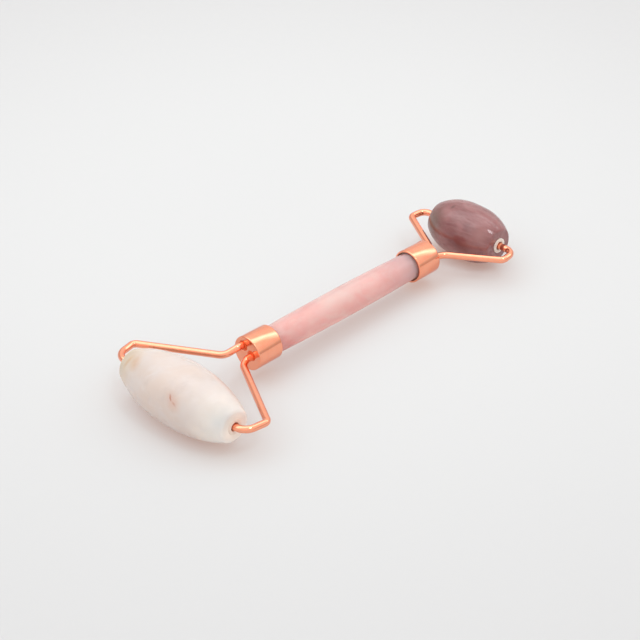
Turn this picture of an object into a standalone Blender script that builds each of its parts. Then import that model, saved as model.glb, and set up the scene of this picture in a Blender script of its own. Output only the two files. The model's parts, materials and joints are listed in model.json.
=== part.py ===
"""Double-ended face roller: a stone handle, two wire yokes and two stone rollers.

The handle runs along X and the roller axes along Y. The large roller is at -X, the small one
at +X, and both rest on the plane Z = 0. The left side is +Y. Lengths are in metres.
"""

import math

import bmesh
import bpy
from mathutils import Matrix, Vector

MM = 0.001

# Clearances
GLUE_GAP = 0.1 * MM  # between pieces that are glued, brazed or pressed together
PIN_PLAY = 0.1 * MM  # between a pin and its bush
MERGE_DISTANCE = 0.01 * MM  # joins the points on a turned piece's axis

# Handle, in its own frame: X along the handle, origin at its middle
HANDLE_CENTRE = Vector((3.99, 0.0, 9.07)) * MM
HANDLE_TILT = math.radians(0.95)  # the small roller's end hangs lower
HANDLE_REACH = 39.5 * MM  # from the middle to each ferrule's outer face
STONE_MIDDLE_RADIUS = 4.75 * MM
STONE_END_RADIUS = 4.35 * MM
STONE_CHAMFER = 0.5 * MM
STONE_BANDS = 10

# Ferrules and what they hold
FERRULE_RADIUS = 5.4 * MM
FERRULE_LENGTH = 9.4 * MM
FERRULE_WALL = 0.6 * MM
FERRULE_BORE_RADIUS = FERRULE_RADIUS - FERRULE_WALL
FERRULE_END_WALL = 1.2 * MM
FERRULE_EDGE = 0.2 * MM
WIRE_HOLE_RADIUS = 1.6 * MM
ANCHOR_THICKNESS = 1.5 * MM
GLUE_BASE = 0.6 * MM
GLUE_BELOW_RIM = 0.7 * MM

# Wire of the yokes, with the bend radii of its centre line
WIRE_RADIUS = 1.1 * MM
NECK_LENGTH = 2.0 * MM  # straight wire outside the ferrule
NECK_BEND = 1.4 * MM
SHOULDER_BEND = 4.3 * MM
ELBOW_BEND = 1.8 * MM
BEND_STEPS = 6
WIRE_RESOLUTION = 3

# Yokes. Holes and wire tails are (sideways, upwards) from the ferrule's axis, shoulders (outwards,
# sideways, upwards) from the middle of the ferrule's outer face, and elbows (outwards, sideways).
# The wires are bent by hand, so the two sides differ a little.
LARGE_YOKE = {
    "end": -1,
    "holes": {"left": Vector((1.67, 1.98)) * MM, "right": Vector((1.67, -0.02)) * MM},
    "tails": {"left": Vector((1.85, 2.2)) * MM, "right": Vector((1.9, -0.15)) * MM},
    "shoulders": {"left": Vector((6.1, 3.1, 0.8)) * MM, "right": Vector((4.4, 2.8, -0.5)) * MM},
    "elbows": {"left": Vector((19.7, 27.65)) * MM, "right": Vector((19.2, 28.25)) * MM},
    "hooks": {"left": 26.2 * MM, "right": 27.0 * MM},
    "hook_bend": 4.1 * MM,
    "pin_tip": 16.3 * MM,
}
SMALL_YOKE = {
    "end": 1,
    "holes": {"left": Vector((1.95, 0.0)) * MM, "right": Vector((1.95, 0.0)) * MM},
    "tails": {"left": Vector((2.1, 0.0)) * MM, "right": Vector((2.1, 0.0)) * MM},
    "shoulders": {"left": Vector((4.9, 3.2, -0.2)) * MM, "right": Vector((4.9, 3.2, -0.5)) * MM},
    "elbows": {"left": Vector((14.2, 19.6)) * MM, "right": Vector((14.2, 19.4)) * MM},
    "hooks": {"left": 18.7 * MM, "right": 18.9 * MM},
    "hook_bend": 3.0 * MM,
    "pin_tip": 9.0 * MM,
}

# Rollers: barrels that narrow from their middle as a power of the distance from it
LARGE_ROLLER = {
    "centre_x": -62.65 * MM,
    "radius": 9.85 * MM,
    "end_radius": 5.0 * MM,
    "half_length": 21.55 * MM,
    "power": 2.19,
    "slid": -1.8 * MM,  # along its pins, as it lies
}
SMALL_ROLLER = {
    "centre_x": 63.3 * MM,
    "radius": 9.2 * MM,
    "end_radius": 5.4 * MM,
    "half_length": 12.7 * MM,
    "power": 2.51,
    "slid": 0.0,
}
ROLLER_EDGE = 1.1 * MM
ROLLER_EDGE_STEPS = 3
ROLLER_BANDS = 14

# Bushes: a sleeve in the roller's bore and a flange on its end
BUSH_BORE_RADIUS = WIRE_RADIUS + PIN_PLAY
BUSH_SLEEVE_RADIUS = 2.05 * MM
BUSH_DEPTH = 5.0 * MM
BUSH_FLANGE_RADIUS = 2.45 * MM
BUSH_FLANGE_THICKNESS = 0.5 * MM
BUSH_FLANGE_EDGE = 0.2 * MM
BUSH_MOUTH_RADIUS = 1.45 * MM
BUSH_MOUTH_DEPTH = 1.2 * MM
ROLLER_BORE_RADIUS = BUSH_SLEEVE_RADIUS + GLUE_GAP

# Facets round each turned piece
ROLLER_STEPS = 48
FERRULE_STEPS = 48
STONE_STEPS = 40
INNER_STEPS = 32
BUSH_STEPS = 28
HOLE_STEPS = 24

SIDES = {"left": 1, "right": -1}


def clear_scene():
    for obj in list(bpy.data.objects):
        bpy.data.objects.remove(obj, do_unlink=True)


def new_collection(name):
    collection = bpy.data.collections.new(name)
    bpy.context.scene.collection.children.link(collection)
    return collection


def new_material(name, colour, roughness, metallic=0.0):
    material = bpy.data.materials.new(name)
    material.use_nodes = True
    shader = material.node_tree.nodes["Principled BSDF"]
    shader.inputs["Base Color"].default_value = (*colour, 1.0)
    shader.inputs["Roughness"].default_value = roughness
    shader.inputs["Metallic"].default_value = metallic
    return material


def new_empty(name, matrix):
    empty = bpy.data.objects.new(name, None)
    empty.empty_display_size = 5 * MM
    empty.matrix_world = matrix
    parts.objects.link(empty)
    return empty


def rounded(corners, radii, steps):
    """The line through the corners, with each inner one replaced by an arc of its radius."""
    line = [corners[0]]
    for before, corner, after, radius in zip(corners, corners[1:], corners[2:], radii):
        arriving = (before - corner).normalized()
        leaving = (after - corner).normalized()
        half_angle = arriving.angle(leaving) / 2
        centre = corner + (arriving + leaving).normalized() * radius / math.sin(half_angle)
        start = (corner + arriving * radius / math.tan(half_angle) - centre).normalized()
        end = (corner + leaving * radius / math.tan(half_angle) - centre).normalized()
        line += [centre + radius * start.slerp(end, i / steps) for i in range(steps + 1)]
    return line + [corners[-1]]


def turned(name, profile, steps, material, parent, place, closed=True):
    """A solid turned about its own Z from (radius, height) points that run down its outer side."""
    mesh = bpy.data.meshes.new(name)
    edges = [(i, i + 1) for i in range(len(profile) - 1)]
    if closed:
        edges.append((len(profile) - 1, 0))
    mesh.from_pydata([(radius, 0.0, height) for radius, height in profile], edges, [])
    mesh.materials.append(material)
    obj = bpy.data.objects.new(name, mesh)
    parts.objects.link(obj)
    obj.parent = parent
    obj.matrix_local = place
    screw = obj.modifiers.new("turn", "SCREW")
    screw.steps = steps
    screw.render_steps = steps
    screw.use_merge_vertices = True
    screw.merge_threshold = MERGE_DISTANCE
    screw.use_smooth_shade = True
    return obj


def drill(obj, name, radius, depth, parent, place):
    """Cuts a round hole along the parent's X through the object."""
    mesh = bpy.data.meshes.new(name)
    rod = bmesh.new()
    bmesh.ops.create_cone(
        rod, cap_ends=True, segments=HOLE_STEPS, radius1=radius, radius2=radius, depth=depth
    )
    bmesh.ops.transform(rod, matrix=Matrix.Rotation(math.pi / 2, 4, "Y"), verts=rod.verts)
    rod.to_mesh(mesh)
    rod.free()
    cutter = bpy.data.objects.new(name, mesh)
    cutters.objects.link(cutter)
    cutter.parent = parent
    cutter.matrix_local = Matrix.Translation(place)
    cutter.hide_render = True
    cutter.display_type = "WIRE"
    cut = obj.modifiers.new(name, "BOOLEAN")
    cut.operation = "DIFFERENCE"
    cut.solver = "EXACT"
    cut.object = cutter


def make_handle_stone(handle, material):
    """A polished rod that bulges a little between the ferrules and is straight inside them."""
    behind_the_end = FERRULE_END_WALL + ANCHOR_THICKNESS + GLUE_BASE + 3 * GLUE_GAP
    half_length = HANDLE_REACH - behind_the_end
    half_visible = HANDLE_REACH - FERRULE_LENGTH
    bulge = STONE_MIDDLE_RADIUS - STONE_END_RADIUS
    upper = [
        (0.0, half_length),
        (STONE_END_RADIUS - STONE_CHAMFER, half_length),
        (STONE_END_RADIUS, half_length - STONE_CHAMFER),
    ]
    middle = []
    for i in range(STONE_BANDS + 1):
        t = 1 - 2 * i / STONE_BANDS
        middle.append((STONE_END_RADIUS + bulge * (1 - t * t), half_visible * t))
    lower = [(radius, -height) for radius, height in reversed(upper)]
    place = Matrix.Rotation(math.pi / 2, 4, "Y")
    turned("handle_stone", upper + middle + lower, STONE_STEPS, material, handle, place, closed=False)


def facing_inwards(end, depth):
    """The place of a piece whose base is that deep behind the ferrule's outer face."""
    base = Matrix.Translation((end * (HANDLE_REACH - depth), 0, 0))
    return base @ Matrix.Rotation(-end * math.pi / 2, 4, "Y")


def make_ferrule(name, yoke, handle, material):
    """A cup over the handle's end, with a hole in its end wall for each wire."""
    profile = [
        (FERRULE_BORE_RADIUS, FERRULE_LENGTH),
        (FERRULE_RADIUS - FERRULE_EDGE, FERRULE_LENGTH),
        (FERRULE_RADIUS, FERRULE_LENGTH - FERRULE_EDGE),
        (FERRULE_RADIUS, FERRULE_EDGE),
        (FERRULE_RADIUS - FERRULE_EDGE, 0.0),
        (0.0, 0.0),
        (0.0, FERRULE_END_WALL),
        (FERRULE_BORE_RADIUS, FERRULE_END_WALL),
    ]
    end = yoke["end"]
    ferrule = turned(name, profile, FERRULE_STEPS, material, handle, facing_inwards(end, 0.0))
    for side, sign in SIDES.items():
        sideways, upwards = yoke["holes"][side]
        mouth = Vector((end * HANDLE_REACH, sign * sideways, upwards))
        drill(ferrule, f"{name}_{side}_hole", WIRE_HOLE_RADIUS, 3 * FERRULE_END_WALL, handle, mouth)


def make_anchor_disc(name, yoke, handle, material):
    """The disc behind the ferrule's end wall that both wires are brazed into."""
    radius = FERRULE_BORE_RADIUS - GLUE_GAP
    profile = [(0.0, ANCHOR_THICKNESS), (radius, ANCHOR_THICKNESS), (radius, 0.0), (0.0, 0.0)]
    end = yoke["end"]
    depth = FERRULE_END_WALL + GLUE_GAP
    place = facing_inwards(end, depth)
    disc = turned(name, profile, INNER_STEPS, material, handle, place, closed=False)
    for side, sign in SIDES.items():
        sideways, upwards = yoke["tails"][side]
        middle = Vector((end * (HANDLE_REACH - depth), sign * sideways, upwards))
        radius = WIRE_RADIUS + GLUE_GAP
        drill(disc, f"{name}_{side}_hole", radius, 4 * ANCHOR_THICKNESS, handle, middle)


def make_adhesive(name, yoke, handle, material):
    """The glue between the stone and its ferrule: a thin cup that opens towards the handle."""
    outer = FERRULE_BORE_RADIUS - GLUE_GAP
    inner = STONE_END_RADIUS + GLUE_GAP
    depth = FERRULE_END_WALL + ANCHOR_THICKNESS + 2 * GLUE_GAP
    top = FERRULE_LENGTH - depth - GLUE_BELOW_RIM
    profile = [
        (inner, top),
        (outer, top),
        (outer, 0.0),
        (0.0, 0.0),
        (0.0, GLUE_BASE),
        (inner, GLUE_BASE),
    ]
    turned(name, profile, INNER_STEPS, material, handle, facing_inwards(yoke["end"], depth))


def make_arm(name, yoke, side, roller_centre, handle, material):
    """A bent wire: its tail in the anchor disc, then neck, shoulder, elbow and hook, and the pin."""
    sideways = Vector((0, SIDES[side], 0))
    upwards = Vector((0, 0, 1))
    handle_out = Vector((yoke["end"], 0, 0))
    face = handle_out * HANDLE_REACH
    outwards = (roller_centre - face).normalized()
    reach = (roller_centre - face).length

    exit_side, exit_up = yoke["tails"][side]
    wire_exit = face + sideways * exit_side + upwards * exit_up
    tail_depth = FERRULE_END_WALL + GLUE_GAP + ANCHOR_THICKNESS
    shoulder_out, shoulder_side, shoulder_up = yoke["shoulders"][side]
    elbow_out, elbow_side = yoke["elbows"][side]
    corners = [
        wire_exit - handle_out * tail_depth,
        wire_exit + handle_out * NECK_LENGTH,
        face + outwards * shoulder_out + sideways * shoulder_side + upwards * shoulder_up,
        face + outwards * elbow_out + sideways * elbow_side,
        face + outwards * reach + sideways * yoke["hooks"][side],
        roller_centre + sideways * yoke["pin_tip"],
    ]
    bends = [NECK_BEND, SHOULDER_BEND, ELBOW_BEND, yoke["hook_bend"]]
    route = rounded(corners, bends, BEND_STEPS)

    curve = bpy.data.curves.new(name, "CURVE")
    curve.dimensions = "3D"
    curve.bevel_depth = WIRE_RADIUS
    curve.bevel_resolution = WIRE_RESOLUTION
    curve.use_fill_caps = True
    curve.materials.append(material)
    spline = curve.splines.new("POLY")
    spline.points.add(len(route) - 1)
    spline.use_smooth = True
    for point, place in zip(spline.points, route):
        point.co = (*place, 1.0)
    arm = bpy.data.objects.new(name, curve)
    parts.objects.link(arm)
    arm.parent = handle


def barrel_profile(roller):
    """A barrel with rounded edges, flat ends and a bore, as (radius, height) points."""
    radius, end_radius, half_length = roller["radius"], roller["end_radius"], roller["half_length"]
    barrel = []
    for i in range(ROLLER_BANDS + 1):
        t = 1 - 2 * i / ROLLER_BANDS
        narrowing = (radius - end_radius) * abs(t) ** roller["power"]
        barrel.append(Vector((radius - narrowing, half_length * t, 0)))
    mouth = Vector((ROLLER_BORE_RADIUS, half_length, 0))
    upper_edge = rounded([mouth, barrel[0], barrel[1]], [ROLLER_EDGE], ROLLER_EDGE_STEPS)[:-1]
    lower_edge = [Vector((point.x, -point.y, 0)) for point in reversed(upper_edge)]
    return [(point.x, point.y) for point in upper_edge + barrel[1:-1] + lower_edge]


def make_roller(name, roller, axis, stone_material, bush_material):
    """A bored stone with a flanged bush in each end. All three turn about the empty's Y."""
    middle = Matrix.Translation((0, roller["slid"], 0))
    up_to_left = Matrix.Rotation(-math.pi / 2, 4, "X")
    profile = barrel_profile(roller)
    turned(name + "_stone", profile, ROLLER_STEPS, stone_material, axis, middle @ up_to_left)
    bush_profile = [
        (BUSH_MOUTH_RADIUS, BUSH_FLANGE_THICKNESS),
        (BUSH_FLANGE_RADIUS - BUSH_FLANGE_EDGE, BUSH_FLANGE_THICKNESS),
        (BUSH_FLANGE_RADIUS, BUSH_FLANGE_THICKNESS - BUSH_FLANGE_EDGE),
        (BUSH_FLANGE_RADIUS, 0.0),
        (BUSH_SLEEVE_RADIUS, 0.0),
        (BUSH_SLEEVE_RADIUS, -BUSH_DEPTH),
        (BUSH_BORE_RADIUS, -BUSH_DEPTH),
        (BUSH_BORE_RADIUS, BUSH_FLANGE_THICKNESS - BUSH_MOUTH_DEPTH),
    ]
    for side, sign in SIDES.items():
        seat = Matrix.Translation((0, sign * (roller["half_length"] + GLUE_GAP), 0))
        outwards = Matrix.Rotation(-sign * math.pi / 2, 4, "X")
        place = middle @ seat @ outwards
        turned(f"{name}_{side}_bush", bush_profile, BUSH_STEPS, bush_material, axis, place)


clear_scene()
parts = new_collection("face_roller")
cutters = new_collection("cutters")

rose_quartz = new_material("rose_quartz", (0.82, 0.50, 0.48), 0.22)
milky_quartz = new_material("milky_quartz", (0.86, 0.78, 0.72), 0.20)
mauve_quartz = new_material("mauve_quartz", (0.36, 0.22, 0.22), 0.20)
rose_gold = new_material("rose_gold", (0.95, 0.50, 0.34), 0.18, metallic=1.0)
brass = new_material("brass", (0.80, 0.60, 0.28), 0.35, metallic=1.0)
nylon = new_material("nylon", (0.90, 0.89, 0.86), 0.45)
epoxy = new_material("epoxy", (0.60, 0.50, 0.38), 0.30)

handle_place = Matrix.Translation(HANDLE_CENTRE) @ Matrix.Rotation(HANDLE_TILT, 4, "Y")
handle_axis = new_empty("handle_axis", handle_place)
make_handle_stone(handle_axis, rose_quartz)

for size, yoke, roller, stone_material in (
    ("large", LARGE_YOKE, LARGE_ROLLER, milky_quartz),
    ("small", SMALL_YOKE, SMALL_ROLLER, mauve_quartz),
):
    roller_centre = Vector((roller["centre_x"], 0, roller["radius"]))
    roller_axis = new_empty(f"{size}_roller_axis", Matrix.Translation(roller_centre))
    make_roller(f"{size}_roller", roller, roller_axis, stone_material, nylon)
    make_ferrule(f"{size}_ferrule", yoke, handle_axis, rose_gold)
    make_anchor_disc(f"{size}_anchor_disc", yoke, handle_axis, brass)
    make_adhesive(f"{size}_ferrule_adhesive", yoke, handle_axis, epoxy)
    for side in SIDES:
        centre_in_handle = handle_place.inverted() @ roller_centre
        make_arm(f"{size}_{side}_arm", yoke, side, centre_in_handle, handle_axis, rose_gold)
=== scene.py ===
"""Looks for the double-ended face roller: polished stones, rose gold wire, floor, light, camera.

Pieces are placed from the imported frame, in metres. Names ending in _mm are in millimetres, and so
are all lengths inside a material.
"""

import json
import math

import bpy
from mathutils import Matrix, Vector, noise


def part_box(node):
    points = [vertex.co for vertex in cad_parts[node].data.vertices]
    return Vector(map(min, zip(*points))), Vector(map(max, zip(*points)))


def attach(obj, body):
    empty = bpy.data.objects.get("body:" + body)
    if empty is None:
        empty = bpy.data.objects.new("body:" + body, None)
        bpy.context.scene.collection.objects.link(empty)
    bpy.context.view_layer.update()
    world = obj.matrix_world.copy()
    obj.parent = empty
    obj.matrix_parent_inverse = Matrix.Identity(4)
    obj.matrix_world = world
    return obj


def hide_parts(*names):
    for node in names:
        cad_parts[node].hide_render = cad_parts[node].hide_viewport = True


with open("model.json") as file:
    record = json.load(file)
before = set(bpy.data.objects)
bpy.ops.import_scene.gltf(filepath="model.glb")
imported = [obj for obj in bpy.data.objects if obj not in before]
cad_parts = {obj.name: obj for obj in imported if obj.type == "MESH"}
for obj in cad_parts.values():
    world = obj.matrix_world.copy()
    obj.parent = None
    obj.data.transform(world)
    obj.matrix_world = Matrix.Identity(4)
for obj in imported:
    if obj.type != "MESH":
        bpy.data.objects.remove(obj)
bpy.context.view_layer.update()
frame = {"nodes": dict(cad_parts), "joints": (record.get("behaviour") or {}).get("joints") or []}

MM = 0.001

# ---------------------------------------------------------------- places, from the frame


def box_centre(node):
    low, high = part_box(node)
    return (low + high) / 2


def box_size(node):
    low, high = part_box(node)
    return high - low


PIVOTS = {joint["child"]: Vector(joint["pos_m"]) for joint in frame["joints"]}

LARGE_FERRULE_CENTRE = box_centre("large_ferrule")
SMALL_FERRULE_CENTRE = box_centre("small_ferrule")
HANDLE_X = (SMALL_FERRULE_CENTRE - LARGE_FERRULE_CENTRE).normalized()
HANDLE_Y = Vector((0, 1, 0))
HANDLE_Z = HANDLE_X.cross(HANDLE_Y)
HANDLE_PLACE = Matrix.Translation((LARGE_FERRULE_CENTRE + SMALL_FERRULE_CENTRE) / 2)
HANDLE_PLACE = HANDLE_PLACE @ Matrix((HANDLE_X, HANDLE_Y, HANDLE_Z)).transposed().to_4x4()

FERRULE_RADIUS = box_size("large_ferrule").y / 2
FERRULE_LENGTH = (box_size("large_ferrule").x - 2 * FERRULE_RADIUS * abs(HANDLE_X.z)) / HANDLE_X.x
HANDLE_REACH = (SMALL_FERRULE_CENTRE - LARGE_FERRULE_CENTRE).length / 2 + FERRULE_LENGTH / 2

# ---------------------------------------------------------------- sizes of the detail

STONE_MIDDLE_RADIUS = box_size("handle_stone").y / 2
STONE_END_RADIUS = 4.35 * MM
STONE_HIDDEN_DEPTH = 3.6 * MM  # from the ferrule's outer face to the stone's end
STONE_END_EDGE = 0.5 * MM

FERRULE_WALL = 0.6 * MM
FERRULE_END_WALL = 1.2 * MM
FERRULE_EDGE = 0.32 * MM
FERRULE_MOUTH_EDGE = 0.12 * MM
WIRE_HOLE_RADIUS = 1.6 * MM
WIRE_HOLE_CHAMFER = 0.12 * MM
BRAZE_DEPTH = 0.10 * MM  # below the ferrule's face at the hole's edge
BRAZE_THICKNESS = 0.7 * MM
BRAZE_CLIMB = 0.22 * MM  # how far it climbs along the wire

WIRE_RADIUS = 1.1 * MM
WIRE_TIP_EDGE = 0.25 * MM
WIRE_TAIL_DEPTH = 2.8 * MM
NECK_LENGTH = 2.0 * MM
NECK_BEND = 1.4 * MM
SHOULDER_BEND = 4.3 * MM
ELBOW_BEND = 1.8 * MM

# Places are as in the solids, from the middle of the ferrule's outer face. Holes and tails are
# (sideways, upwards), shoulders (outwards, sideways, upwards), elbows (outwards, sideways), and
# hooks sideways only. Pin tips are sideways from the roller's middle.
YOKES = {
    "large": {
        "end": -1,
        "holes_mm": {"left": (1.67, 1.98), "right": (1.67, -0.02)},
        "tails_mm": {"left": (1.85, 2.2), "right": (1.9, -0.15)},
        "shoulders_mm": {"left": (6.1, 3.1, 0.8), "right": (4.4, 2.8, -0.5)},
        "elbows_mm": {"left": (19.7, 27.65), "right": (19.2, 28.25)},
        "hooks_mm": {"left": 26.2, "right": 27.0},
        "hook_bend": 4.1 * MM,
        "pin_tip": 16.3 * MM,
    },
    "small": {
        "end": 1,
        "holes_mm": {"left": (1.95, 0.0), "right": (1.95, 0.0)},
        "tails_mm": {"left": (2.1, 0.0), "right": (2.1, 0.0)},
        "shoulders_mm": {"left": (4.9, 3.2, -0.2), "right": (4.9, 3.2, -0.5)},
        "elbows_mm": {"left": (14.2, 19.6), "right": (14.2, 19.4)},
        "hooks_mm": {"left": 18.7, "right": 18.9},
        "hook_bend": 3.0 * MM,
        "pin_tip": 9.0 * MM,
    },
}
SIDES = {"left": 1, "right": -1}

# A barrel narrows from its middle to its end radius, by a power of the way there. The flange is how
# far a bush stands out of the stone.
ROLLERS = {
    "large": {
        "slot": "milky_quartz",
        "end_radius": 5.0 * MM,
        "power": 2.19,
        "flange": 0.15 * MM,
        "grinding_seed": 11.0,
    },
    "small": {
        "slot": "mauve_quartz",
        "end_radius": 5.4 * MM,
        "power": 2.51,
        "flange": 0.45 * MM,
        "grinding_seed": 23.0,
    },
}
ROLLER_EDGE = 1.1 * MM
ROLLER_BORE_RADIUS = 2.15 * MM
ROLLER_BORE_CHAMFER = 0.15 * MM

BUSH_BORE_RADIUS = 1.2 * MM
BUSH_SLEEVE_RADIUS = 2.05 * MM
BUSH_DEPTH = 5.0 * MM
BUSH_FLANGE_RADIUS = 2.45 * MM
BUSH_EDGE = 0.07 * MM
BUSH_MOUTH_RADIUS = 1.45 * MM
BUSH_MOUTH_DEPTH = 1.2 * MM
BUSH_GAP = 0.01 * MM  # between its flange and the stone

# How far a hand-ground stone strays from its true shape, and over what length.
ROLLER_GRINDING_DEPTH, ROLLER_GRINDING_LENGTH = 0.05 * MM, 7 * MM
HANDLE_GRINDING_DEPTH, HANDLE_GRINDING_LENGTH = 0.03 * MM, 9 * MM
HANDLE_GRINDING_SEED = 3.0

# How finely shapes are divided: segments round an axis, bands along a curve, steps in a bend.
HANDLE_SEGMENTS, HANDLE_BANDS = 96, 48
FERRULE_SEGMENTS, HOLE_SEGMENTS = 128, 64
BRAZE_SEGMENTS, BRAZE_BANDS = 48, 6
WIRE_SEGMENTS, WIRE_BEND_STEPS, WIRE_TIP_STEPS = 32, 14, 4
ROLLER_SEGMENTS, ROLLER_BANDS, ROLLER_EDGE_STEPS = 128, 64, 8
BUSH_SEGMENTS = 64
EDGE_STEPS = 5
SMOOTH_UP_TO_DEGREES = 35  # sharper edges stay sharp
FERRULE_SMOOTH_UP_TO_DEGREES = 30

# ---------------------------------------------------------------- mesh code


def rounded(corners, radii, steps):
    """The line through the corners, with each inner one replaced by an arc of its radius."""
    line = [corners[0]]
    for before, corner, after, radius in zip(corners, corners[1:], corners[2:], radii):
        arriving = (before - corner).normalized()
        leaving = (after - corner).normalized()
        half_angle = arriving.angle(leaving) / 2
        centre = corner + (arriving + leaving).normalized() * radius / math.sin(half_angle)
        start = (corner + arriving * radius / math.tan(half_angle) - centre).normalized()
        end = (corner + leaving * radius / math.tan(half_angle) - centre).normalized()
        line += [centre + radius * start.slerp(end, i / steps) for i in range(steps + 1)]
    return line + [corners[-1]]


def rounded_profile(corners, radii):
    """A turned outline through (radius, height) corners, rounded where their radius isn't 0."""
    points = [Vector((r, h, 0)) for r, h in corners]
    line = [points[0]]
    for before, corner, after, radius in zip(points, points[1:], points[2:], radii):
        if radius:
            line += rounded([before, corner, after], [radius], EDGE_STEPS)[1:-1]
        else:
            line.append(corner)
    line.append(points[-1])
    return [(p.x, p.y) for p in line]


def mesh_piece(name, vertices, faces, place=Matrix.Identity(4)):
    """A smooth mesh whose object stays at the origin, so its texture space is the frame's own."""
    mesh = bpy.data.meshes.new(name)
    mesh.from_pydata([place @ Vector(v) for v in vertices], [], faces)
    mesh.validate()
    mesh.shade_smooth()
    mesh.set_sharp_from_angle(angle=math.radians(SMOOTH_UP_TO_DEGREES))
    piece = bpy.data.objects.new(name, mesh)
    bpy.context.scene.collection.objects.link(piece)
    return piece


def turned(name, profile, place, segments, closed=False):
    """A solid turned about its own Z from (radius, height) points that run down its outer side."""
    vertices, rings = [], []
    for radius, height in profile:
        if radius == 0:
            rings.append([len(vertices)] * segments)
            vertices.append((0, 0, height))
            continue
        first = len(vertices)
        for i in range(segments):
            angle = 2 * math.pi * i / segments
            vertices.append((radius * math.cos(angle), radius * math.sin(angle), height))
        rings.append(list(range(first, first + segments)))
    pairs = list(zip(rings, rings[1:]))
    if closed:
        pairs.append((rings[-1], rings[0]))
    faces = []
    for upper, lower in pairs:
        for i in range(segments):
            j = (i + 1) % segments
            face = [upper[j], upper[i], lower[i], lower[j]]
            faces.append(list(dict.fromkeys(face)))
    return mesh_piece(name, vertices, faces, place)


def tube(name, route, radius):
    """A round wire along the route, with its cut ends slightly rounded."""
    tangents = []
    for i in range(len(route)):
        before, after = route[max(i - 1, 0)], route[min(i + 1, len(route) - 1)]
        tangents.append((after - before).normalized())
    across = tangents[0].orthogonal().normalized()
    rings = []
    for i, (point, tangent) in enumerate(zip(route, tangents)):
        if i:
            across = tangents[i - 1].rotation_difference(tangent) @ across
        rings.append((point, tangent, across.copy(), radius))

    def tip(point, tangent, across, towards):
        edge = []
        for k in range(1, WIRE_TIP_STEPS + 1):
            angle = math.pi / 2 * k / WIRE_TIP_STEPS
            inset = WIRE_TIP_EDGE * (1 - math.cos(angle))
            depth = WIRE_TIP_EDGE * (1 - math.sin(angle))
            edge.append((point - towards * tangent * depth, tangent, across, radius - inset))
        return edge

    first, last = rings[0], rings[-1]
    head = list(reversed(tip(*first[:3], -1)))
    tail = tip(*last[:3], 1)
    rings = head + [(first[0] + first[1] * WIRE_TIP_EDGE, *first[1:])] + rings[1:-1]
    rings += [(last[0] - last[1] * WIRE_TIP_EDGE, *last[1:])] + tail

    vertices, faces = [], []
    for point, tangent, side, ring_radius in rings:
        up = tangent.cross(side)
        for i in range(WIRE_SEGMENTS):
            angle = 2 * math.pi * i / WIRE_SEGMENTS
            vertices.append(point + ring_radius * (math.cos(angle) * side + math.sin(angle) * up))
    last_start = len(vertices) - WIRE_SEGMENTS
    for a in range(0, last_start, WIRE_SEGMENTS):
        b = a + WIRE_SEGMENTS
        for i in range(WIRE_SEGMENTS):
            j = (i + 1) % WIRE_SEGMENTS
            faces.append([a + i, a + j, b + j, b + i])
    faces.append(list(reversed(range(WIRE_SEGMENTS))))
    faces.append(list(range(last_start, len(vertices))))
    return mesh_piece(name, vertices, faces)


def drill(ferrule, cutters):
    """Takes the cutters' shapes out of the ferrule, and removes the cutters."""
    for cutter in cutters:
        modifier = ferrule.modifiers.new(cutter.name, "BOOLEAN")
        modifier.operation = "DIFFERENCE"
        modifier.solver = "EXACT"
        modifier.object = cutter
    evaluated = ferrule.evaluated_get(bpy.context.evaluated_depsgraph_get())
    mesh = bpy.data.meshes.new_from_object(evaluated)
    ferrule.modifiers.clear()
    ferrule.data = mesh
    mesh.shade_smooth()
    mesh.set_sharp_from_angle(angle=math.radians(FERRULE_SMOOTH_UP_TO_DEGREES))
    for cutter in cutters:
        bpy.data.objects.remove(cutter)


def grind(stone, depth, wavelength, seed):
    """Lets a turned stone stray a little from its true shape, as a hand-ground one does."""
    normals = [vertex.normal.copy() for vertex in stone.data.vertices]
    for vertex, normal in zip(stone.data.vertices, normals):
        wave = noise.noise(vertex.co / wavelength + Vector((seed, 0, 0)))
        vertex.co += normal * depth * wave
    stone.data.update()


# ---------------------------------------------------------------- shader nodes

NOISE_ROUGHNESS = 0.55


class Nodes:
    """Short ways to add nodes to a shader tree, where an input is a number or another socket."""

    def __init__(self, tree):
        self.tree = tree

    def add(self, kind, inputs, **settings):
        node = self.tree.nodes.new(kind)
        for name, value in settings.items():
            setattr(node, name, value)
        for socket, value in inputs.items():
            if isinstance(value, bpy.types.NodeSocket):
                self.tree.links.new(value, node.inputs[socket])
            else:
                node.inputs[socket].default_value = value
        return node

    def maths(self, operation, a, b):
        return self.add("ShaderNodeMath", {0: a, 1: b}, operation=operation).outputs[0]

    def vector_maths(self, operation, inputs, output):
        return self.add("ShaderNodeVectorMath", inputs, operation=operation).outputs[output]

    def scaled(self, vector, factor):
        return self.vector_maths("SCALE", {0: vector, "Scale": factor}, "Vector")

    def summed(self, a, b):
        return self.vector_maths("ADD", {0: a, 1: b}, "Vector")

    def length(self, vector):
        return self.vector_maths("LENGTH", {0: vector}, "Value")

    def dot(self, a, b):
        return self.vector_maths("DOT_PRODUCT", {0: a, 1: b}, "Value")

    def ramp(self, value, low, high, to_low=0.0, to_high=1.0):
        """Value taken from low..high to to_low..to_high, smoothly, and held there beyond them."""
        inputs = {"Value": value, 1: low, 2: high, 3: to_low, 4: to_high}
        return self.add("ShaderNodeMapRange", inputs, interpolation_type="SMOOTHSTEP").outputs[0]


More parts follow.
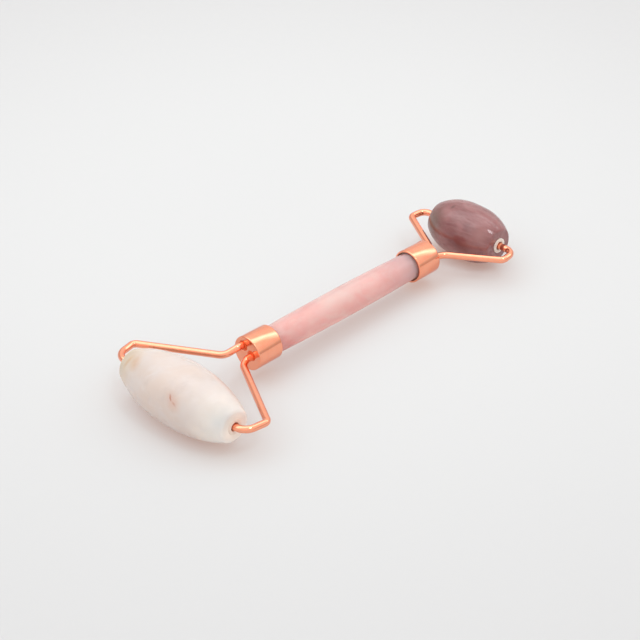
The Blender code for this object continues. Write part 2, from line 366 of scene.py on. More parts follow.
class Paint(Nodes):
    """A Principled material whose patterns lie on the object in millimetres, where it rests."""

    def __init__(self, name, **values):
        self.material = bpy.data.materials.new(name)
        self.material.use_nodes = True
        super().__init__(self.material.node_tree)
        self.shader = self.tree.nodes["Principled BSDF"]
        for socket, value in values.items():
            self.shader.inputs[socket.replace("_", " ")].default_value = value
        coordinates = self.tree.nodes.new("ShaderNodeTexCoord").outputs["Object"]
        self.place = self.scaled(coordinates, 1 / MM)

    def mix(self, factor, a, b):
        """Colour a where the factor is 0 and colour b where it is 1."""
        return self.add("ShaderNodeMix", {0: factor, 6: a, 7: b}, data_type="RGBA").outputs[2]

    def veiled(self, tone, pattern, low, high, strength, shade):
        """Lays a shade over the tone: none where the pattern is low, full strength at high."""
        return self.mix(self.ramp(pattern, low, high, 0.0, strength), tone, shade)

    def along(self, place, turn_degrees=(0, 0, 0), stretch=(1, 1, 1), centre=(0, 0, 0)):
        """Coordinates from a centre, turned and stretched, so that a pattern is drawn out."""
        turn = tuple(math.radians(a) for a in turn_degrees)
        inputs = {"Vector": place, "Location": centre, "Rotation": turn, "Scale": stretch}
        return self.add("ShaderNodeMapping", inputs, vector_type="TEXTURE").outputs[0]

    def noise_node(self, place, size_mm, detail):
        scale = 1 / size_mm
        inputs = {"Vector": place, "Scale": scale, "Detail": detail, "Roughness": NOISE_ROUGHNESS}
        return self.add("ShaderNodeTexNoise", inputs)

    def clouds(self, place, size_mm, detail):
        """Soft clouds of about this size, as values round a half."""
        return self.noise_node(place, size_mm, detail).outputs["Fac"]

    def warped(self, place, size_mm, amount_mm):
        """Coordinates pushed about by soft noise, so that straight patterns become natural ones."""
        push = self.noise_node(place, size_mm, detail=2.0).outputs["Color"]
        push = self.scaled(self.summed(push, (-0.5, -0.5, -0.5)), 2 * amount_mm)
        return self.summed(place, push)

    def patch(self, place, centre_mm, radii_mm, turn_degrees=(0, 0, 0), softness=1.0):
        """1 in an ellipsoid's middle and 0 outside it, fading over the soft share of its radius."""
        inside = self.along(place, turn_degrees, radii_mm, centre_mm)
        return self.ramp(self.length(inside), 1.0 - softness, 1.0, 1.0, 0.0)

    def bump(self, height, strength, depth_mm):
        inputs = {"Height": height, "Strength": strength, "Distance": depth_mm * MM}
        return self.add("ShaderNodeBump", inputs).outputs["Normal"]

    def finish(self, **sockets):
        for socket, value in sockets.items():
            self.tree.links.new(value, self.shader.inputs[socket.replace("_", " ")])
        return self.material


# ---------------------------------------------------------------- colours


def colour(red, green, blue):
    """Linear RGBA from ordinary 0-255 screen values."""
    channels = []
    for value in (red, green, blue):
        v = value / 255
        channels.append(v / 12.92 if v <= 0.04045 else ((v + 0.055) / 1.055) ** 2.4)
    return (*channels, 1.0)


# The plating's colours, and the floor's below, are written as linear values.
ROSE_GOLD_LIGHT = (1.0, 0.365, 0.195, 1.0)
ROSE_GOLD_DEEP = (1.0, 0.335, 0.17, 1.0)
ROSE_GOLD_EDGE = (0.80, 0.46, 0.36, 1.0)

ROSE = colour(203, 168, 165)
ROSE_DEEP = colour(200, 157, 153)
ROSE_PALE = colour(196, 179, 175)
ROSE_GREY = colour(174, 146, 148)
ROSE_RED = colour(186, 112, 106)
ROSE_PAINTED_SHADE = colour(184, 150, 148)
ROSE_PAINTED_LIGHT = colour(226, 184, 178)
# Patches are (centre, radii, turn, colour, strength), in millimetres and degrees.
ROSE_PATCHES = (
    # The first two patches run the handle's length: painted shade along its lit top, painted light
    # along its shaded underside.
    ((4.0, 3.2, 13.5), (60.0, 5.0, 5.0), (0, 0.95, 0), ROSE_PAINTED_SHADE, 0.7),
    ((4.0, -4.0, 4.5), (60.0, 5.5, 5.5), (0, 0.95, 0), ROSE_PAINTED_LIGHT, 0.8),
    # The next two are redder and greyer stone at the ends, and also painted shade and reflection
    # darkening the stone next to each ferrule.
    ((-28.0, -3.0, 7.0), (15.0, 12.0, 11.0), (0, 0, 0), ROSE_RED, 0.9),
    ((32.0, 0.0, 9.0), (20.0, 12.0, 12.0), (0, 0, 0), ROSE_GREY, 0.9),
    ((1.0, -1.0, 13.5), (13.0, 6.5, 6.5), (0, 10, 0), ROSE_PALE, 0.7),
    ((7.0, -6.0, 8.5), (7.0, 4.0, 4.0), (0, 0, 0), ROSE_DEEP, 0.7),
)

MILKY = colour(200, 190, 186)
MILKY_WARM = colour(200, 186, 179)
MILKY_PALE = colour(205, 198, 196)
MILKY_PAINTED_LIGHT = colour(253, 238, 225)
MILKY_STAIN = colour(198, 150, 116)
MILKY_DIM = colour(186, 174, 170)
MILKY_YELLOW = colour(208, 174, 140)
MILKY_BROWN = colour(192, 152, 134)
MILKY_RUST = colour(165, 104, 84)
MILKY_PATCHES = (
    ((-65.0, 19.0, 12.0), (10.0, 12.0, 11.0), (0, 0, 0), MILKY_YELLOW, 0.95),
    # Painted light: this patch lightens the roller's right end, which lies in shade.
    ((-64.0, -22.0, 8.0), (14.0, 15.0, 14.0), (0, 0, 0), MILKY_PAINTED_LIGHT, 1.0),
)
MILKY_INCLUSIONS = (
    ((-71.0, -7.3, 14.5), (3.2, 4.6, 3.2), (40, 0, 0), MILKY_BROWN, 0.5),
    ((-70.6, -6.3, 15.0), (0.9, 1.9, 0.5), (48, 0, 0), MILKY_RUST, 0.9),
    ((-71.3, -8.0, 14.2), (0.9, 1.4, 0.5), (30, 0, 0), MILKY_RUST, 0.4),
    ((-67.0, 12.5, 16.0), (4.0, 3.0, 3.5), (0, 0, 20), MILKY_STAIN, 0.45),
    ((-66.0, 15.5, 14.5), (5.0, 1.3, 3.0), (0, 0, -25), MILKY_STAIN, 0.6),
)
# Round the bores, (centre, radii), the milky stone lets in no more than this share of light.
MILKY_LEAST_CLEAR = 0.1
MILKY_DENSE_ENDS = (
    ((-62.65, -23.4, 9.85), (6.5, 5.0, 6.5)),
    ((-62.65, 19.8, 9.85), (6.5, 5.0, 6.5)),
)

MAUVE = colour(150, 102, 102)
MAUVE_DEEP = colour(128, 80, 81)
MAUVE_PALE = colour(158, 120, 119)
MAUVE_PAINTED_LIGHT = colour(160, 114, 112)
MAUVE_DARK = colour(98, 66, 64)
MAUVE_RED = colour(110, 53, 53)
MAUVE_GREY = colour(118, 95, 87)
MAUVE_PATCHES = (
    ((56.0, 9.5, 12.0), (8.0, 8.0, 9.0), (0, 0, 0), MAUVE_GREY, 0.9),
    ((54.5, -3.0, 10.0), (4.5, 10.0, 4.5), (20, 0, 0), MAUVE_RED, 0.75),
    # Painted sheen: lighter where the small lamp's highlight falls, on the upper right.
    ((57.5, -9.0, 13.5), (6.0, 5.5, 5.0), (0, 0, 0), MAUVE_PAINTED_LIGHT, 0.8),
    # Painted light on the roller's shaded underside.
    ((55.0, -4.0, 4.0), (4.5, 10.0, 3.5), (0, 0, 0), MAUVE_PAINTED_LIGHT, 0.9),
    ((60.5, 4.0, 17.7), (1.4, 1.1, 1.1), (0, 0, 0), MAUVE_DARK, 0.8),
)

NYLON = colour(236, 230, 222)
NYLON_SHADE = colour(222, 212, 202)
NYLON_AGED = colour(243, 224, 210)
NYLON_AGED_SHADE = colour(234, 212, 196)
BRASS = colour(214, 170, 104)
BRASS_DARK = colour(176, 128, 72)
# The filler's deep orange is painted reflection: light bouncing round inside a copper hole.
BRAZE_PAINTED_REFLECTION = colour(245, 112, 58)
BRAZE_DEEP_PAINTED_REFLECTION = colour(228, 84, 34)
EPOXY = colour(176, 140, 104)
EPOXY_DARK = colour(130, 96, 70)

# The card's own colours are a little blue, because the light table under it glows warm.
CARD = (0.351, 0.464, 0.497, 1.0)
CARD_SHADE = (0.343, 0.454, 0.486, 1.0)
# Painted fall-off of light: the card's colour far from its lightest place.
CARD_PAINTED_FALLOFF = (0.280, 0.385, 0.418, 1.0)
TABLE_GLOW = (0.36, 0.215, 0.175, 1.0)
TABLE_GLOW_STRENGTH = 1.0
# The card darkens away from its lightest place between these distances, as a painted pool of light.
CARD_LIGHTEST_MM = Vector((45.0, 60.0, 0.0))
CARD_DARKENS_FROM_MM, CARD_DARKENS_TO_MM = 50.0, 290.0  # away from its lightest place

# ---------------------------------------------------------------- materials

QUARTZ_IOR = 1.54


def rose_gold_material(name, rubbed_degrees, gloss):
    """Polished plating with faint rubbing marks, drawn out one way, and a slight unevenness."""
    paint = Paint(
        name,
        Metallic=1.0,
        Specular_Tint=ROSE_GOLD_EDGE,
        Coat_Weight=1.0,
        Coat_Roughness=0.05,
        Coat_IOR=1.8,
    )
    rubbed = paint.along(paint.place, rubbed_degrees, stretch=(6.0, 0.35, 0.35))
    marks = paint.clouds(rubbed, 0.5, detail=3.0)
    wear = paint.clouds(paint.place, 2.4, detail=4.0)
    tone = paint.mix(paint.ramp(wear, 0.35, 0.7), ROSE_GOLD_DEEP, ROSE_GOLD_LIGHT)
    worn, scuffed = paint.ramp(wear, 0.3, 0.75, *gloss), paint.ramp(marks, 0.5, 0.8, 0.0, 0.04)
    relief = paint.bump(marks, strength=0.06, depth_mm=0.05)
    return paint.finish(Base_Color=tone, Roughness=paint.maths("ADD", worn, scuffed), Normal=relief)


def patched(paint, tone, place, patches):
    """Lays soft ellipsoids of colour over the tone."""
    for centre, radii, turn, shade, strength in patches:
        mask = paint.patch(place, centre, radii, turn)
        tone = paint.mix(paint.maths("MULTIPLY", mask, strength), tone, shade)
    return tone


def polished_stone(paint, tone, gloss=(0.12, 0.22)):
    """Finishes a stone with the slightly uneven polish that all three stones share."""
    polish = paint.clouds(paint.place, 3.5, detail=3.0)
    pits = paint.clouds(paint.place, 0.6, detail=2.0)
    shine = paint.ramp(polish, 0.3, 0.7, *gloss)
    relief = paint.bump(pits, strength=0.05, depth_mm=0.05)
    return paint.finish(Base_Color=tone, Roughness=shine, Normal=relief)


def grained(paint, grain, dark, light, gloss, relief):
    """Finishes a plain material that follows one grain. Relief is its strength and its depth."""
    tone = paint.mix(grain, dark, light)
    shine = paint.ramp(grain, 0.3, 0.7, *gloss)
    return paint.finish(Base_Color=tone, Roughness=shine, Normal=paint.bump(grain, *relief))


def rose_quartz_material():
    """Pink quartz with paler slanting veils, redder at the large end and greyer at the small, and
    darker next to each ferrule as painted shade and reflection. Painted shade runs along its top
    and painted light along its underside.
    """
    paint = Paint(
        "rose_quartz_polished",
        Subsurface_Weight=1.0,
        Subsurface_Radius=(1.0, 0.6, 0.52),
        Subsurface_Scale=20.0 * MM,
        IOR=QUARTZ_IOR,
        Specular_IOR_Level=0.3,
    )
    flow = paint.warped(paint.place, 12.0, 3.0)
    clouds = paint.clouds(paint.along(flow, (0, 20, 10), (1.6, 1.0, 1.0)), 7.0, detail=3.0)
    veils = paint.clouds(paint.along(flow, (0, 28, 16), (4.0, 1.0, 1.0)), 3.4, detail=4.0)
    tone = paint.mix(paint.ramp(clouds, 0.36, 0.66), ROSE_DEEP, ROSE)
    tone = paint.veiled(tone, veils, 0.42, 0.78, 0.7, ROSE_PALE)
    tone = patched(paint, tone, flow, ROSE_PATCHES)
    return polished_stone(paint, tone)


def milky_quartz_material():
    """Milky quartz with pale wisps, a stained left end, a small rusty inclusion, and painted light
    on its shaded right end.
    """
    paint = Paint(
        "milky_quartz_polished",
        Subsurface_Weight=1.0,
        Subsurface_Radius=(1.0, 0.85, 0.72),
        Subsurface_Scale=30.0 * MM,
        IOR=QUARTZ_IOR,
        Specular_IOR_Level=0.3,
    )
    flow = paint.warped(paint.place, 9.0, 2.5)
    veils = paint.clouds(paint.along(flow, (20, 10, 35), (1.0, 2.6, 1.0)), 6.0, detail=4.0)
    wisps = paint.clouds(paint.along(flow, (-25, 0, 60), (1.0, 5.0, 1.0)), 2.5, detail=5.0)
    clouds = paint.clouds(paint.along(flow, (15, -20, 50), (1.0, 3.0, 1.0)), 4.0, detail=3.0)
    tone = paint.mix(paint.ramp(veils, 0.36, 0.64), MILKY_WARM, MILKY)
    tone = paint.veiled(tone, wisps, 0.52, 0.78, 0.6, MILKY_PALE)
    tone = paint.veiled(tone, clouds, 0.54, 0.76, 0.5, MILKY_DIM)
    tone = patched(paint, tone, flow, MILKY_PATCHES)
    tone = patched(paint, tone, paint.warped(paint.place, 1.2, 0.35), MILKY_INCLUSIONS)
    clear = 1.0
    for centre, radii in MILKY_DENSE_ENDS:
        dense = paint.patch(paint.place, centre, radii, softness=0.6)
        clear = paint.maths("SUBTRACT", clear, dense)
    paint.finish(Subsurface_Weight=paint.maths("MAXIMUM", clear, MILKY_LEAST_CLEAR))
    return polished_stone(paint, tone)


def mauve_quartz_material():
    """Mauve quartz, banded along its axis, with a dark red patch and fine dark specks, and painted
    light on its upper right where the lamp's sheen falls and on its shaded underside.
    """
    paint = Paint(
        "mauve_quartz_polished",
        Subsurface_Weight=0.6,
        Subsurface_Radius=(1.0, 0.55, 0.55),
        Subsurface_Scale=2.0 * MM,
        IOR=QUARTZ_IOR,
    )
    flow = paint.warped(paint.place, 7.0, 1.2)
    bands = paint.clouds(paint.along(flow, (0, 0, 12), (1.0, 6.0, 1.0)), 1.8, detail=5.0)
    veils = paint.clouds(paint.along(flow, (0, 20, -10), (1.0, 2.5, 1.0)), 5.0, detail=3.0)
    specks = paint.clouds(paint.place, 0.9, detail=3.0)
    tone = paint.mix(paint.ramp(veils, 0.36, 0.64), MAUVE_DEEP, MAUVE)
    tone = paint.veiled(tone, bands, 0.42, 0.74, 0.7, MAUVE_PALE)
    tone = paint.veiled(tone, specks, 0.60, 0.80, 0.35, MAUVE_DARK)
    tone = patched(paint, tone, flow, MAUVE_PATCHES)
    return polished_stone(paint, tone, gloss=(0.08, 0.16))


def nylon_material(name, light, shade):
    """Moulded nylon, slightly see-through and mottled."""
    paint = Paint(
        name,
        Subsurface_Weight=0.3,
        Subsurface_Radius=(1.0, 0.9, 0.8),
        Subsurface_Scale=0.6 * MM,
    )
    mottle = paint.clouds(paint.place, 0.8, detail=3.0)
    return grained(paint, mottle, shade, light, gloss=(0.35, 0.5), relief=(0.1, 0.03))


def brass_material():
    """The sawn disc inside a ferrule."""
    paint = Paint("brass_sawn", Metallic=1.0)
    saw_marks = paint.clouds(paint.along(paint.place, stretch=(0.2, 0.2, 6.0)), 0.4, detail=2.0)
    return grained(paint, saw_marks, BRASS_DARK, BRASS, gloss=(0.3, 0.45), relief=(0.3, 0.04))


def braze_material():
    """Copper-coloured filler, duller and deeper than the plating; its deep orange is painted
    reflection, the light bouncing round inside a copper hole.
    """
    paint = Paint("braze_painted_reflection", Metallic=0.6)
    ripples = paint.clouds(paint.place, 0.4, detail=3.0)
    return grained(paint, ripples, BRAZE_DEEP_PAINTED_REFLECTION, BRAZE_PAINTED_REFLECTION, gloss=(0.25, 0.4), relief=(0.2, 0.05))


def epoxy_material():
    """Set adhesive, with a few bubbles."""
    paint = Paint("epoxy_set", IOR=1.5)
    bubbles = paint.clouds(paint.place, 0.5, detail=2.0)
    return grained(paint, bubbles, EPOXY_DARK, EPOXY, gloss=(0.2, 0.35), relief=(0.2, 0.05))


def floor_material():
    """Matt white card on a light table, which keeps the shadows light, with a painted fall-off of
    light away from its lightest place.
    """
    paint = Paint(
        "white_card",
        Emission_Color=TABLE_GLOW,
        Emission_Strength=TABLE_GLOW_STRENGTH,
        Specular_IOR_Level=0.2,
    )
    fibre = paint.clouds(paint.place, 3.0, detail=3.0)
    tone = paint.mix(fibre, CARD_SHADE, CARD)
    # Painted fall-off of light across the card.
    from_lightest = paint.length(paint.summed(paint.place, -CARD_LIGHTEST_MM))
    far = paint.ramp(from_lightest, CARD_DARKENS_FROM_MM, CARD_DARKENS_TO_MM)
    tone = paint.mix(far, tone, CARD_PAINTED_FALLOFF)
    return paint.finish(Base_Color=tone, Roughness=paint.ramp(fibre, 0.3, 0.7, 0.75, 0.9))


# ---------------------------------------------------------------- the pieces


def finish_piece(piece, body, node, material):
    piece.data.materials.clear()
    piece.data.materials.append(material)
    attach(piece, body)
    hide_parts(node)


def make_handle_stone(material):
    """A slightly bulging bar with straight ends inside the ferrules."""
    half_length = HANDLE_REACH - STONE_HIDDEN_DEPTH
    half_visible = HANDLE_REACH - FERRULE_LENGTH
    bulge = STONE_MIDDLE_RADIUS - STONE_END_RADIUS
    end = rounded_profile(
        [(0, half_length), (STONE_END_RADIUS, half_length), (STONE_END_RADIUS, half_visible)],
        [STONE_END_EDGE],
    )[:-1]
    middle = []
    for i in range(HANDLE_BANDS + 1):
        t = 1 - 2 * i / HANDLE_BANDS
        middle.append((STONE_END_RADIUS + bulge * (1 - t * t), half_visible * t))
    profile = end + middle + [(r, -h) for r, h in reversed(end)]
    place = HANDLE_PLACE @ Matrix.Rotation(math.pi / 2, 4, "Y")
    stone = turned("handle_rose_quartz", profile, place, HANDLE_SEGMENTS)
    grind(stone, HANDLE_GRINDING_DEPTH, HANDLE_GRINDING_LENGTH, HANDLE_GRINDING_SEED)
    finish_piece(stone, "handle", "handle_stone", material)


def facing_inwards(end):
    """Places a turned shape on a ferrule's outer face, with its own Z running into the ferrule."""
    base = Matrix.Translation((end * HANDLE_REACH, 0, 0))
    return HANDLE_PLACE @ base @ Matrix.Rotation(-end * math.pi / 2, 4, "Y")


def at_wire_hole(yoke, side):
    """The same, in the middle of a wire's hole."""
    sideways, upwards = yoke["holes_mm"][side]
    offset = Vector((0, SIDES[side] * sideways * MM, upwards * MM))
    return Matrix.Translation(HANDLE_PLACE.to_3x3() @ offset) @ facing_inwards(yoke["end"])


def make_ferrule(size, yoke, material):
    """A drawn cup with rounded edges and a chamfered hole for each wire."""
    bore = FERRULE_RADIUS - FERRULE_WALL
    corners = [
        (bore, FERRULE_END_WALL),
        (bore, FERRULE_LENGTH),
        (FERRULE_RADIUS, FERRULE_LENGTH),
        (FERRULE_RADIUS, 0.0),
        (0.0, 0.0),
    ]
    profile = rounded_profile(corners, [FERRULE_MOUTH_EDGE, FERRULE_EDGE, FERRULE_EDGE])
    profile += [(0.0, FERRULE_END_WALL)]
    place = facing_inwards(yoke["end"])
    ferrule = turned(f"{size}_ferrule_cup", profile, place, FERRULE_SEGMENTS, closed=True)

    # The 45 degree chamfer runs on to a little above the face, and the hole well past the wall.
    past_wall, above_face = 3 * FERRULE_END_WALL, -2 * WIRE_HOLE_CHAMFER
    flare = WIRE_HOLE_RADIUS + WIRE_HOLE_CHAMFER - above_face
    hole_profile = [
        (0.0, past_wall),
        (WIRE_HOLE_RADIUS, past_wall),
        (WIRE_HOLE_RADIUS, WIRE_HOLE_CHAMFER),
        (flare, above_face),
        (0.0, above_face),
    ]
    cutters = []
    for side in SIDES:
        place = at_wire_hole(yoke, side)
        cutters.append(turned(f"drill_{side}", hole_profile, place, HOLE_SEGMENTS))
    drill(ferrule, cutters)
    finish_piece(ferrule, "handle", f"{size}_ferrule", material)


def make_braze(size, yoke, side, material):
    """The filler that has run into a hole round its wire."""
    lower = BRAZE_DEPTH + BRAZE_THICKNESS
    profile = [(0.0, lower), (WIRE_HOLE_RADIUS, lower), (WIRE_HOLE_RADIUS, BRAZE_DEPTH)]
    for i in range(1, BRAZE_BANDS + 1):
        t = i / BRAZE_BANDS
        radius = WIRE_HOLE_RADIUS + (WIRE_RADIUS - WIRE_HOLE_RADIUS) * t
        profile.append((radius, BRAZE_DEPTH - BRAZE_CLIMB * t * t))
    profile.append((0.0, BRAZE_DEPTH - BRAZE_CLIMB))
    braze = turned(f"{size}_{side}_braze", profile, at_wire_hole(yoke, side), BRAZE_SEGMENTS)
    finish_piece(braze, "handle", f"{size}_ferrule", material)


def make_arm(size, yoke, side, material):
    """A bent wire, worked out in the handle's axes: tail, neck, shoulder, elbow, hook and pin."""
    roller_centre = HANDLE_PLACE.inverted() @ PIVOTS[f"{size}_roller"]
    sideways = Vector((0, SIDES[side], 0))
    upwards = Vector((0, 0, 1))
    handle_out = Vector((yoke["end"], 0, 0))
    face = handle_out * HANDLE_REACH
    outwards = (roller_centre - face).normalized()
    reach = (roller_centre - face).length

    exit_side, exit_up = (v * MM for v in yoke["tails_mm"][side])
    wire_exit = face + sideways * exit_side + upwards * exit_up
    out, aside, up = (v * MM for v in yoke["shoulders_mm"][side])
    elbow_out, elbow_side = (v * MM for v in yoke["elbows_mm"][side])
    corners = [
        wire_exit - handle_out * WIRE_TAIL_DEPTH,
        wire_exit + handle_out * NECK_LENGTH,
        face + outwards * out + sideways * aside + upwards * up,
        face + outwards * elbow_out + sideways * elbow_side,
        face + outwards * reach + sideways * yoke["hooks_mm"][side] * MM,
        roller_centre + sideways * yoke["pin_tip"],
    ]
    bends = [NECK_BEND, SHOULDER_BEND, ELBOW_BEND, yoke["hook_bend"]]
    route = [HANDLE_PLACE @ point for point in rounded(corners, bends, WIRE_BEND_STEPS)]
    arm = tube(f"{size}_{side}_wire", route, WIRE_RADIUS)
    finish_piece(arm, "handle", f"{size}_{side}_arm", material)


def barrel_profile(roller, radius, half_length):
    """The stone's outline, from the bore's left chamfer over the barrel to the right one."""
    barrel = []
    for i in range(ROLLER_BANDS + 1):
        t = 1 - 2 * i / ROLLER_BANDS
        narrowing = (radius - roller["end_radius"]) * abs(t) ** roller["power"]
        barrel.append(Vector((radius - narrowing, half_length * t, 0)))
    mouth = Vector((ROLLER_BORE_RADIUS + ROLLER_BORE_CHAMFER, half_length, 0))
    # The edge's arc takes the place of the barrel's outermost bands.
    kept = [p for p in barrel if abs(p.y) < half_length - ROLLER_EDGE]
    edge = rounded([mouth, barrel[0], kept[0]], [ROLLER_EDGE], ROLLER_EDGE_STEPS)[:-1]
    bore = Vector((ROLLER_BORE_RADIUS, half_length - ROLLER_BORE_CHAMFER, 0))
    upper = [bore] + edge
    lower = [Vector((p.x, -p.y, 0)) for p in reversed(upper)]
    return [(p.x, p.y) for p in upper + kept + lower]


def make_roller(size, roller, stone_material, bush_material):
    """A bored barrel of stone, and its two bushes."""
    node = f"{size}_roller_stone"
    body = f"{size}_roller"
    half_length = box_size(node).y / 2
    radius = box_size(node).z / 2
    middle = PIVOTS[body].copy()
    middle.y = box_centre(node).y
    profile = barrel_profile(roller, radius, half_length)
    place = Matrix.Translation(middle) @ Matrix.Rotation(-math.pi / 2, 4, "X")
    stone = turned(f"{size}_roller_barrel", profile, place, ROLLER_SEGMENTS, closed=True)
    grind(stone, ROLLER_GRINDING_DEPTH, ROLLER_GRINDING_LENGTH, roller["grinding_seed"])
    finish_piece(stone, body, node, stone_material)

    corners = [
        (BUSH_MOUTH_RADIUS, roller["flange"]),
        (BUSH_FLANGE_RADIUS, roller["flange"]),
        (BUSH_FLANGE_RADIUS, 0.0),
        (BUSH_SLEEVE_RADIUS, 0.0),
        (BUSH_SLEEVE_RADIUS, -BUSH_DEPTH),
        (BUSH_BORE_RADIUS, -BUSH_DEPTH),
        (BUSH_BORE_RADIUS, roller["flange"] - BUSH_MOUTH_DEPTH),
    ]
    profile = rounded_profile(corners, [BUSH_EDGE, BUSH_EDGE, 0, BUSH_EDGE, BUSH_EDGE])
    for side, sign in SIDES.items():
        seat = middle + Vector((0, sign * (half_length + BUSH_GAP), 0))
        place = Matrix.Translation(seat) @ Matrix.Rotation(-sign * math.pi / 2, 4, "X")
        name = f"{size}_roller_{side}_flanged_bush"
        bush = turned(name, profile, place, BUSH_SEGMENTS, closed=True)
        finish_piece(bush, body, f"{size}_roller_{side}_bush", bush_material)


def dress_node(node, material):
    """Gives a CAD node that stays its finished material."""
    for slot in frame["nodes"][node].material_slots:
        slot.material = material


def make_object():
    """Every piece that rides on a body, from one end of the handle to the other."""
    ferrule_metal = rose_gold_material("rose_gold_ferrule", (0, 0, 0), gloss=(0.05, 0.09))
    wire_metal = rose_gold_material("rose_gold_wire", (0, 0, 60), gloss=(0.02, 0.04))
    brass = brass_material()
    braze = braze_material()
    epoxy = epoxy_material()
    stones = {"large": milky_quartz_material(), "small": mauve_quartz_material()}
    nylons = {
        "large": nylon_material("nylon_aged", NYLON_AGED, NYLON_AGED_SHADE),
        "small": nylon_material("nylon_natural", NYLON, NYLON_SHADE),
    }
    make_handle_stone(rose_quartz_material())
    for size in ROLLERS:
        make_ferrule(size, YOKES[size], ferrule_metal)
        for side in SIDES:
            make_arm(size, YOKES[size], side, wire_metal)
            make_braze(size, YOKES[size], side, braze)
        make_roller(size, ROLLERS[size], stones[size], nylons[size])
        dress_node(f"{size}_anchor_disc", brass)
        dress_node(f"{size}_ferrule_adhesive", epoxy)


# ---------------------------------------------------------------- floor, light and camera

FLOOR_HALF_SIZE = 2.0
FLOOR_DROP = 0.02 * MM  # keeps the rollers' lowest lines clear of the floor


def make_floor():
    corners = []
    for x, y in ((-1, -1), (1, -1), (1, 1), (-1, 1)):
        corners.append((x * FLOOR_HALF_SIZE, y * FLOOR_HALF_SIZE, -FLOOR_DROP))
    floor = mesh_piece("floor", corners, [(0, 1, 2, 3)])
    floor.data.materials.append(floor_material())


# Directions level with the floor, as the camera sees them.
TO_THE_RIGHT = Vector((0.70, -0.714, 0.0))
TO_THE_BACK = Vector((0.714, 0.70, 0.0))

ROOM_COLOUR = (1.03, 0.99, 0.96, 1.0)
WALL_RADIANCE, CEILING_RADIANCE = 0.92, 1.14
CEILING_STARTS, CEILING_FULL = 0.35, 0.80  # sine of the elevation

# Two unlit stretches of wall: the way each lies, how dark it is and where it begins, as cosines,
# and the elevations, as sines, between which it gives way to the lit room.
UNLIT_WALLS = (
    (TO_THE_RIGHT, 0.32, (0.55, 0.95), (0.10, 0.34)),
    (Vector((-0.30, 0.954, 0.0)), 0.28, (0.50, 0.86), (0.30, 0.62)),
)

# The big soft light overhead, with a brighter strip, its core, along its middle. Its outline is in
# units of its height above the floor, and it reaches nearer on the left, in proportion to how far
# left of the place where it begins to widen.
SOFT_LIGHT_COLOUR = (0.98, 0.995, 1.03, 1.0)
SOFT_LIGHT_RADIANCE = 1.03
CORE_RADIANCE = 0.45  # on top of the soft light's own
CORE_NEAR, CORE_MIDDLE, CORE_FAR = 0.36, 0.48, 0.62
SOFT_LIGHT_NEAR, SOFT_LIGHT_NEAR_FULL = 0.14, 0.50
SOFT_LIGHT_FAR_FULL, SOFT_LIGHT_FAR = 0.54, 0.76
SOFT_LIGHT_WIDENS_FROM, SOFT_LIGHT_WIDENING = 0.7, 0.70
SOFT_LIGHT_LEFT, SOFT_LIGHT_LEFT_FULL = -1.6, -0.8
SOFT_LIGHT_RIGHT_FULL, SOFT_LIGHT_RIGHT = 1.5, 2.8
LOWEST_SINE = 0.05  # of the elevation, so that the outline stays finite at the horizon

SMALL_LAMP_DIRECTION = Vector((0.0, -0.447, 0.894))
SMALL_LAMP_RADIANCE = 9.0
SMALL_LAMP_EDGE, SMALL_LAMP_FULL = 0.9925, 0.9965  # cosine of the angle from its middle


def room_radiance(sky, direction, up):
    """White walls and ceiling, with the unlit stretches of wall taken off."""
    room = sky.ramp(up, CEILING_STARTS, CEILING_FULL, WALL_RADIANCE, CEILING_RADIANCE)
    for way, darkness, (starts, inside), (full, top) in UNLIT_WALLS:
        low = sky.ramp(up, full, top, -darkness, 0.0)
        beside = sky.ramp(sky.dot(direction, way), starts, inside)
        room = sky.maths("ADD", room, sky.maths("MULTIPLY", low, beside))
    return room


def soft_light_radiance(sky, direction, up):
    """The light overhead, faded out at each of its four edges."""
    height = sky.maths("MAXIMUM", up, LOWEST_SINE)
    across = sky.maths("DIVIDE", sky.dot(direction, TO_THE_RIGHT), height)
    away = sky.maths("DIVIDE", sky.dot(direction, TO_THE_BACK), height)
    widened = sky.maths("MAXIMUM", sky.maths("SUBTRACT", SOFT_LIGHT_WIDENS_FROM, across), 0.0)
    from_near_edge = sky.maths("ADD", away, sky.maths("MULTIPLY", widened, SOFT_LIGHT_WIDENING))
    core_rises = sky.ramp(away, CORE_NEAR, CORE_MIDDLE)
    core_falls = sky.ramp(away, CORE_MIDDLE, CORE_FAR, 1.0, 0.0)
    core = sky.maths("MULTIPLY", sky.maths("MULTIPLY", core_rises, core_falls), CORE_RADIANCE)
    light = sky.maths("ADD", SOFT_LIGHT_RADIANCE, core)
    for edge in (
        sky.ramp(from_near_edge, SOFT_LIGHT_NEAR, SOFT_LIGHT_NEAR_FULL),
        sky.ramp(away, SOFT_LIGHT_FAR_FULL, SOFT_LIGHT_FAR, 1.0, 0.0),
        sky.ramp(across, SOFT_LIGHT_LEFT, SOFT_LIGHT_LEFT_FULL),
        sky.ramp(across, SOFT_LIGHT_RIGHT_FULL, SOFT_LIGHT_RIGHT, 1.0, 0.0),
    ):
        light = sky.maths("MULTIPLY", light, edge)
    return light


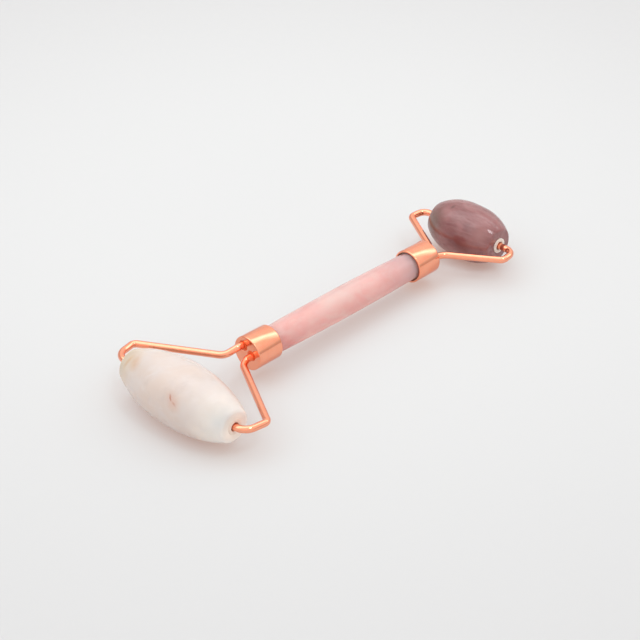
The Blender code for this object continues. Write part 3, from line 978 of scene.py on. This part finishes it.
def small_lamp_radiance(sky, direction):
    towards_lamp = sky.dot(direction, SMALL_LAMP_DIRECTION)
    return sky.ramp(towards_lamp, SMALL_LAMP_EDGE, SMALL_LAMP_FULL, 0.0, SMALL_LAMP_RADIANCE)


def make_surroundings():
    """A bright white room with a long soft light overhead, as radiance by direction."""
    world = bpy.data.worlds.new("studio")
    bpy.context.scene.world = world
    world.use_nodes = True
    sky = Nodes(world.node_tree)
    direction = sky.add("ShaderNodeTexCoord", {}).outputs["Generated"]
    up = sky.dot(direction, (0, 0, 1))
    room = room_radiance(sky, direction, up)
    soft_light = soft_light_radiance(sky, direction, up)
    lights = sky.maths("ADD", soft_light, small_lamp_radiance(sky, direction))
    shaders = []
    for radiance, tint in ((room, ROOM_COLOUR), (lights, SOFT_LIGHT_COLOUR)):
        inputs = {"Color": tint, "Strength": radiance}
        shaders.append(sky.add("ShaderNodeBackground", inputs).outputs["Background"])
    both = sky.add("ShaderNodeAddShader", {0: shaders[0], 1: shaders[1]}).outputs["Shader"]
    output = sky.tree.nodes["World Output"]
    sky.tree.links.new(both, output.inputs["Surface"])
    sky.tree.nodes.remove(sky.tree.nodes["Background"])


# The photograph's view: the camera stands near the large roller's end and looks down.
CAMERA_PLACE = Vector((-0.34333, -0.33017, 0.31900))
CAMERA_AIM = Vector((0.002594, 0.007526, 0.0))
CAMERA_LENS_MM = 105.594
CAMERA_SENSOR_MM = 36.0
CAMERA_SEES_FROM, CAMERA_SEES_TO = 0.01, 20.0


def make_camera():
    data = bpy.data.cameras.new("camera")
    data.lens = CAMERA_LENS_MM
    data.sensor_width = CAMERA_SENSOR_MM
    data.clip_start = CAMERA_SEES_FROM
    data.clip_end = CAMERA_SEES_TO
    camera = bpy.data.objects.new("camera", data)
    camera.location = CAMERA_PLACE
    camera.rotation_mode = "QUATERNION"
    camera.rotation_quaternion = (CAMERA_AIM - CAMERA_PLACE).to_track_quat("-Z", "Y")
    bpy.context.scene.collection.objects.link(camera)
    bpy.context.scene.camera = camera


make_object()
make_floor()
make_surroundings()
make_camera()
bpy.context.scene.view_settings.view_transform = "Standard"

bpy.context.view_layer.update()
